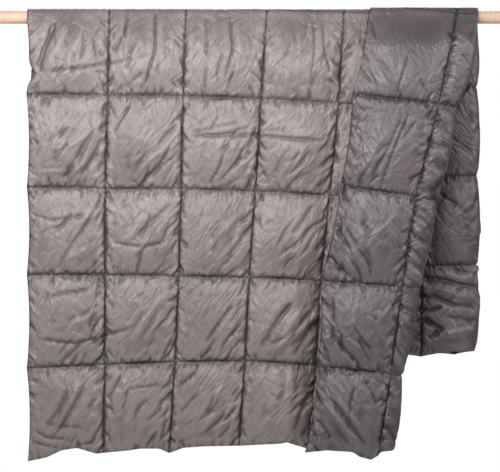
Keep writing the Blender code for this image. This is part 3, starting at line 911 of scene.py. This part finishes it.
def pucker_bump(tree, uv):
    """Fine puckers: slanting up from the upright seams, and standing on the cross seams."""
    split = node(tree, "ShaderNodeSeparateXYZ")
    tree.links.new(uv, split.inputs["Vector"])
    beside, below = value_of(tree, "seam_distance"), value_of(tree, "cross_distance")
    along = math_node(tree, "ABSOLUTE", split.outputs["Y"])
    rising = math_node(tree, "MULTIPLY_ADD", beside, 0.9)
    tree.links.new(along, rising.node.inputs[2])
    total = None
    for ripple, drawn_out, distance in ((rising, split.outputs["X"], beside),
                                        (split.outputs["X"], split.outputs["Y"], below)):
        place = node(tree, "ShaderNodeCombineXYZ")
        tree.links.new(ripple, place.inputs["X"])
        tree.links.new(math_node(tree, "MULTIPLY", drawn_out, 0.22), place.inputs["Y"])
        bands = drawn_facets(tree, place.outputs["Vector"], 95.0)
        near = ranged(tree, distance, 0.0, 0.026, 1.0, 0.0)
        part = math_node(tree, "MULTIPLY", bands, near)
        total = part if total is None else math_node(tree, "ADD", total, part)
    return total


def bump(tree, height, distance, strength, below=None):
    made = node(tree, "ShaderNodeBump")
    made.inputs["Strength"].default_value = strength
    made.inputs["Distance"].default_value = distance
    tree.links.new(height, made.inputs["Height"])
    if below is not None:
        tree.links.new(below, made.inputs["Normal"])
    return made.outputs["Normal"]


# How dark the painted shade in the depth of a seam makes the cloth, as a share of its darkest
# colour.
SEAM_SHADE = 0.42


def cloth_material(name, dark, pale, slant):
    """Downproof nylon: a tight plain weave with a satin shine, creased finely all over, with
    painted shade in its seams and crease troughs and a painted highlight on its crests.
    """
    material, tree, shader = new_material(name)
    uv = node(tree, "ShaderNodeUVMap", uv_map="cloth").outputs["UV"]

    # Colour input: random tone from the clouds, plus painted shade in crease troughs and a painted
    # highlight on crests from the ridge value.
    clouds = noise(tree, uv, 9.0, 3.0)
    shade = math_node(tree, "MULTIPLY_ADD", value_of(tree, "ridge"), 0.34)
    tree.links.new(clouds, shade.node.inputs[2])
    # Painted shade in the seams: darker within 4 mm of any seam, and darker still within 6.5 mm of
    # the upright seams.
    nearest = math_node(tree, "MINIMUM", value_of(tree, "seam_distance"),
                        value_of(tree, "cross_distance"))
    shade = math_node(tree, "ADD", shade, ranged(tree, nearest, 0.0, 0.004, -0.16, 0.0))
    beside = ranged(tree, value_of(tree, "seam_distance"), 0.0, 0.0065, -0.50, 0.0)
    shade = math_node(tree, "ADD", shade, beside)
    stops = ((0.0, scaled(dark, SEAM_SHADE)), (0.14, dark), (0.85, pale))
    colour_by(tree, shade, shader, stops)

    worn = noise(tree, uv, 22.0, 4.0)
    tree.links.new(ranged(tree, worn, 0.3, 0.7, 0.41, 0.52), shader.inputs["Roughness"])
    shader.inputs["Specular IOR Level"].default_value = 0.8
    shader.inputs["Sheen Weight"].default_value = 0.15
    shader.inputs["Sheen Roughness"].default_value = 0.35

    patches = noise(tree, uv, 13.0, 2.0)
    slanted = drawn_facets(tree, turned_coordinates(tree, uv, slant, 0.26), 105.0)
    steep = drawn_facets(tree, turned_coordinates(tree, uv, -0.4 * slant, 0.45), 80.0)
    slanted = math_node(tree, "MULTIPLY", slanted, ranged(tree, patches, 0.42, 0.60, 0.10, 1.0))
    steep = math_node(tree, "MULTIPLY", steep, ranged(tree, patches, 0.44, 0.62, 1.0, 0.0))
    normal = bump(tree, math_node(tree, "ADD", slanted, steep), 0.0022, 0.8)
    lines = crease_lines(tree, turned_coordinates(tree, uv, slant, 0.30), 24.0,
                         ranged(tree, patches, 0.36, 0.52, 0.2, 1.0))
    crossing = crease_lines(tree, turned_coordinates(tree, uv, -1.9 * slant, 0.30), 19.0,
                            ranged(tree, patches, 0.40, 0.50, 0.7, 0.0))
    normal = bump(tree, math_node(tree, "ADD", lines, crossing), 0.0012, 0.8, normal)
    fine = noise(tree, turned_coordinates(tree, uv, 0.5 * slant, 0.5), 210.0, 2.0)
    normal = bump(tree, fine, 0.0013, 0.8, normal)
    normal = bump(tree, pucker_bump(tree, uv), 0.0034, 0.8, normal)
    weave = node(tree, "ShaderNodeTexWave", wave_type="BANDS", bands_direction="DIAGONAL")
    weave.inputs["Scale"].default_value = 700.0
    tree.links.new(uv, weave.inputs["Vector"])
    normal = bump(tree, weave.outputs["Fac"], 0.00005, 0.3, normal)
    tree.links.new(normal, shader.inputs["Normal"])
    return material


def thread_material(name, colour):
    material, tree, shader = new_material(name)
    coordinates = node(tree, "ShaderNodeTexCoord").outputs["Object"]
    ply = noise(tree, coordinates, 2500.0, 2.0)
    colour_by(tree, ply, shader, ((0.0, scaled(colour, 0.7)), (1.0, colour)))
    tree.links.new(bump(tree, ply, 0.0001, 0.5), shader.inputs["Normal"])
    shader.inputs["Roughness"].default_value = 0.6
    return material


# Ends of each cloth's colour ramp: the random tone lies between them, and the painted shade and
# painted highlight reach towards them.
FACE_DARK, FACE_PALE = (0.150, 0.125, 0.119), (0.315, 0.268, 0.258)
REVERSE_DARK, REVERSE_PALE = (0.077, 0.065, 0.065), (0.185, 0.156, 0.156)
WOOD_DARK, WOOD_PALE = (0.82, 0.53, 0.38), (0.95, 0.67, 0.51)
FACE_THREAD, REVERSE_THREAD = (0.160, 0.140, 0.130), (0.100, 0.090, 0.090)


# The shell cloths are cut into pieces at seams: a name, the columns, the rows and the step
# in the grid, which is wider where no view reaches.
FACE_PIECES = (
    ("face_front", (0, 5), (0, 5), 1),
    ("face_front_inside_fold", (5, 7), (0, 5), 2),
    ("face_back", (0, 5), (-4, 0), 1),
    ("face_back_inside_fold", (5, 7), (-4, 0), 2),
)
REVERSE_PIECES = (
    ("reverse_front", (0, 5), (0, 5), 2),
    ("reverse_front_folded", (5, 7), (0, 5), 1),
    ("reverse_back", (0, 5), (-4, 0), 1),
    ("reverse_back_folded", (5, 7), (-4, 0), 1),
)


def make_quilt():
    sides = ((1.0, FACE_CREASES, FACE_SEED),
             (-1.0, REVERSE_CREASES + FOLD_RIBS, REVERSE_SEED))
    with ThreadPoolExecutor(2) as pool:
        shells = list(pool.map(lambda side: shell_cloth(*side), sides))
    materials = (cloth_material("face_nylon", FACE_DARK, FACE_PALE, math.radians(-35)),
                 cloth_material("reverse_nylon", REVERSE_DARK, REVERSE_PALE, math.radians(-38)))
    threads = (thread_material("face_thread", FACE_THREAD),
               thread_material("reverse_thread", REVERSE_THREAD))
    layers = zip((1.0, -1.0), (FACE_PIECES, REVERSE_PIECES), shells, materials, threads)
    for side, pieces, (surface, cloth), material, thread in layers:
        cells = surface.cells
        for name, columns, levels, step in pieces:
            first, last = (BACK_ROWS + level for level in levels)
            lines = slice(columns[0] * cells, columns[1] * cells + 1, step)
            rows = slice(first * cells, last * cells + 1, step)
            piece = cloth_piece(name, surface, cloth, side, lines, rows)
            stitches = stitch_piece(f"{name}_stitches", surface, side, lines, rows)
            piece.data.materials.append(material)
            stitches.data.materials.append(thread)
            for thing in (piece, stitches):
                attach(thing, "root")
                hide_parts("blanket")


def wood_material():
    """Pale beech: fine flecks and rays drawn out along the rod, under a thin oil finish."""
    material, tree, shader = new_material("oiled_beech")
    coordinates = node(tree, "ShaderNodeTexCoord").outputs["Object"]
    drawn_out = node(tree, "ShaderNodeMapping", vector_type="POINT")
    drawn_out.inputs["Scale"].default_value = (1.0, 1.0, 0.05)
    tree.links.new(coordinates, drawn_out.inputs["Vector"])
    grain = noise(tree, drawn_out.outputs["Vector"], 240.0, 4.0)
    colour_by(tree, grain, shader, ((0.30, WOOD_DARK), (0.62, WOOD_PALE)))
    tree.links.new(ranged(tree, grain, 0.3, 0.7, 0.55, 0.45), shader.inputs["Roughness"])
    tree.links.new(bump(tree, grain, 0.0002, 0.5), shader.inputs["Normal"])
    shader.inputs["Specular IOR Level"].default_value = 0.35
    return material


def dress_rod():
    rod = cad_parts["rod"]
    rod.data.materials.clear()
    rod.data.materials.append(wood_material())


# ---------------------------------------------------------------- stage, light, camera
FLOOR_LEVEL, FLOOR_RADIUS = -1.90, 3.0


def make_stage():
    """A pale round floor that fades out before its edge."""
    angles = np.linspace(0.0, 2.0 * math.pi, 64, endpoint=False)
    rim = [(FLOOR_RADIUS * math.cos(a), FLOOR_RADIUS * math.sin(a), FLOOR_LEVEL) for a in angles]
    mesh = bpy.data.meshes.new("floor")
    mesh.from_pydata(rim, [], [tuple(range(len(rim)))])
    floor = link(bpy.data.objects.new("floor", mesh))
    material, tree, shader = new_material("floor_paint")
    shader.inputs["Base Color"].default_value = (0.93, 0.93, 0.93, 1.0)
    shader.inputs["Roughness"].default_value = 0.8
    length = node(tree, "ShaderNodeVectorMath", operation="LENGTH")
    flat = node(tree, "ShaderNodeMapping", vector_type="POINT")
    flat.inputs["Scale"].default_value = (1.0, 1.0, 0.0)
    tree.links.new(node(tree, "ShaderNodeTexCoord").outputs["Object"], flat.inputs["Vector"])
    tree.links.new(flat.outputs["Vector"], length.inputs[0])
    fade = ranged(tree, length.outputs["Value"], 0.4 * FLOOR_RADIUS, 0.97 * FLOOR_RADIUS, 1.0, 0.0)
    tree.links.new(fade, shader.inputs["Alpha"])
    mesh.materials.append(material)


AMBIENT_ABOVE, AMBIENT_BELOW = 0.13, 0.02


def make_world():
    """White behind the object, and a dim light from all round, mostly from above."""
    world = bpy.data.worlds.new("studio")
    world.use_nodes = True
    bpy.context.scene.world = world
    tree = world.node_tree
    split = node(tree, "ShaderNodeSeparateXYZ")
    tree.links.new(node(tree, "ShaderNodeTexCoord").outputs["Generated"], split.inputs["Vector"])
    strength = ranged(tree, split.outputs["Z"], -0.7, 0.7, AMBIENT_BELOW, AMBIENT_ABOVE)
    background = tree.nodes["Background"]
    background.inputs["Color"].default_value = (1.0, 1.0, 1.0, 1.0)
    tree.links.new(strength, background.inputs["Strength"])
    seen = node(tree, "ShaderNodeBackground")
    seen.inputs["Color"].default_value = (1.0, 1.0, 1.0, 1.0)
    seen.inputs["Strength"].default_value = 1.0
    path = node(tree, "ShaderNodeLightPath")
    mix = node(tree, "ShaderNodeMixShader")
    tree.links.new(path.outputs["Is Camera Ray"], mix.inputs["Fac"])
    tree.links.new(background.outputs["Background"], mix.inputs[1])
    tree.links.new(seen.outputs["Background"], mix.inputs[2])
    tree.links.new(mix.outputs["Shader"], tree.nodes["World Output"].inputs["Surface"])


def area_light(name, place, aim, size, power):
    light = bpy.data.lights.new(name, "AREA")
    light.shape = "RECTANGLE"
    light.size, light.size_y = size
    light.energy = power
    lamp = link(bpy.data.objects.new(name, light))
    lamp.location = place
    lamp.rotation_euler = (Vector(aim) - Vector(place)).to_track_quat("-Z", "Y").to_euler()
    return lamp


def make_lights():
    area_light("key_light", (-0.42, -1.25, 0.22), (-0.12, 0.0, -0.35), (1.5, 0.5), 20.5)
    area_light("fill_light", (1.3, -1.3, 0.45), (0.55, 0.0, -0.25), (0.7, 0.7), 5.2)
    area_light("low_light", (-1.3, -1.4, -0.9), (-0.35, 0.0, -0.8), (0.5, 0.5), 2.6)
    area_light("side_light", (2.0, -0.45, 0.10), (0.55, 0.0, -0.35), (0.9, 0.9), 9.5)
    area_light("back_light", (0.3, 2.4, 1.1), (0.0, 0.0, -0.5), (2.2, 1.0), 70.0)


VIEW_WIDTH = 1.25
VIEW_CENTRE = (-0.009, -0.5490)
CAMERA_DISTANCE = 10.0
FRONT_DEPTH = -0.04


def make_camera():
    camera = bpy.data.cameras.new("camera")
    camera.sensor_width = 36.0
    camera.lens = camera.sensor_width * CAMERA_DISTANCE / VIEW_WIDTH
    camera.clip_end = 100.0
    rig = link(bpy.data.objects.new("camera", camera))
    rig.location = (VIEW_CENTRE[0], FRONT_DEPTH - CAMERA_DISTANCE, VIEW_CENTRE[1])
    rig.rotation_euler = (math.radians(90), 0.0, 0.0)
    bpy.context.scene.camera = rig


make_camera()
make_world()
make_lights()
make_stage()
bpy.context.scene.view_settings.view_transform = "Standard"
make_quilt()
dress_rod()
